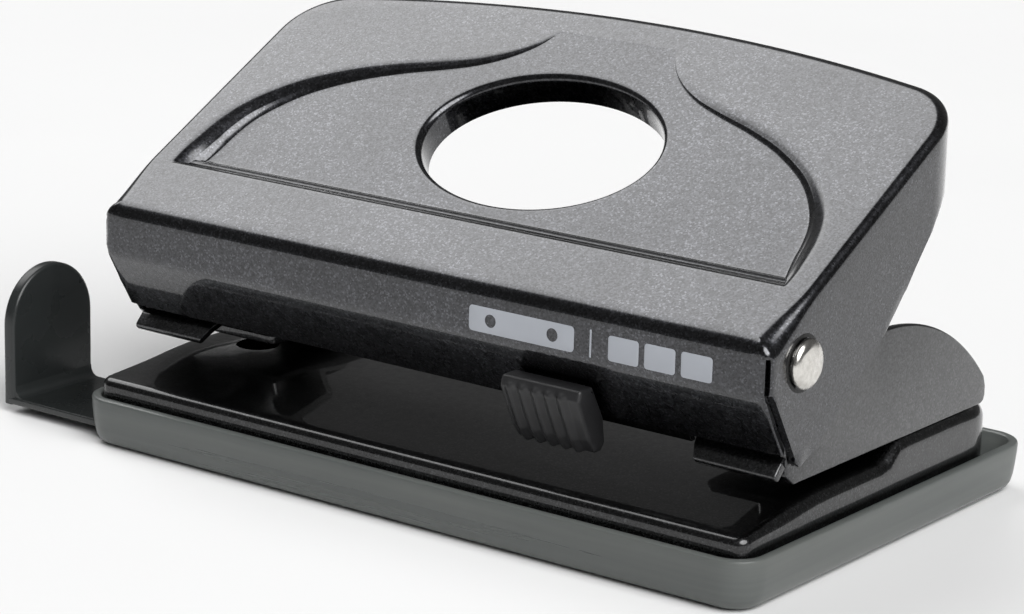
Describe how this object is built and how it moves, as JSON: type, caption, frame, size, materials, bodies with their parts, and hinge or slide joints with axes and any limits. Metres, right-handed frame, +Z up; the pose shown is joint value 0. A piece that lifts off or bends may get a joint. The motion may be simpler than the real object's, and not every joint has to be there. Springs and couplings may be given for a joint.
{
  "type": "hole punch",
  "caption": "Small desktop two-hole paper punch with a sprung steel handle, oval finger hole, chip tray, sliding paper guide and handle lock.",
  "frame": {"origin": "centre of the flat underside of the chip tray", "axes": "+X to the operator's right along the long side, +Y away from the operator, +Z up"},
  "size_m": [0.1188, 0.0646, 0.0539],
  "materials": {
    "handle_lacquer": "gloss black metallic-flake lacquer",
    "black_lacquer": "gloss black metallic-flake lacquer",
    "tray_plastic": "soft smoky grey translucent plastic",
    "charcoal_plastic": "matt charcoal moulding",
    "guide_plastic": "satin dark grey moulding",
    "polished_rivet": "polished nickel rivet head",
    "rivet_steel": "zinc plated",
    "zinc_steel": "zinc plated sheet",
    "spring_wire": "drawn spring wire",
    "pin_steel": "ground hardened steel"
  },
  "bodies": {
    "tray": {"chip_tray": "tray_plastic"},
    "base": {"base_plate": "black_lacquer", "bracket_rivets": "rivet_steel", "punch_bracket": "black_lacquer", "pin_guide_left": "zinc_steel", "pin_guide_right": "zinc_steel", "pivot_rivet_left": "polished_rivet", "pivot_rivet_right": "polished_rivet", "pivot_washer_left": "zinc_steel", "pivot_washer_right": "zinc_steel", "return_spring_left": "spring_wire", "return_spring_right": "spring_wire"},
    "handle": {"handle": "handle_lacquer"},
    "lock": {"lock_thumb": "charcoal_plastic", "lock_plate": "zinc_steel"},
    "pin_left": {"punch_pin_left": "pin_steel", "spring_seat_left": "zinc_steel", "pin_clip_left": "spring_wire"},
    "pin_right": {"punch_pin_right": "pin_steel", "spring_seat_right": "zinc_steel", "pin_clip_right": "spring_wire"},
    "guide": {"paper_guide": "guide_plastic"}
  },
  "joints": [
    {"name": "tray_release", "type": "slide", "parent": "tray", "child": "base", "axis": [0, 0, 1], "range_m": [0, 0.02]},
    {"name": "handle_pivot", "type": "hinge", "parent": "base", "child": "handle", "pos_m": [0, -0.0213, 0.0273], "axis": [-1, 0, 0], "range_deg": [0, 25], "stiffness_Nm_per_rad": 0.5, "springref_deg": -17.19},
    {"name": "lock_slide", "type": "slide", "parent": "handle", "child": "lock", "axis": [1, 0, 0], "range_m": [-0.0025, 0]},
    {"name": "pin_left_slide", "type": "slide", "parent": "base", "child": "pin_left", "axis": [0, 0, -1], "range_m": [0, 0.0058], "deforming": ["return_spring_left"]},
    {"name": "pin_right_slide", "type": "slide", "parent": "base", "child": "pin_right", "axis": [0, 0, -1], "range_m": [0, 0.0058], "deforming": ["return_spring_right"]},
    {"name": "guide_slide", "type": "slide", "parent": "tray", "child": "guide", "axis": [-1, 0, 0], "range_m": [-0.012, 0.06]}
  ],
  "couplings": [
    {"joint": "pin_left_slide", "follows": "handle_pivot", "m_per_rad": 0.01329},
    {"joint": "pin_right_slide", "follows": "handle_pivot", "m_per_rad": 0.01329}
  ]
}
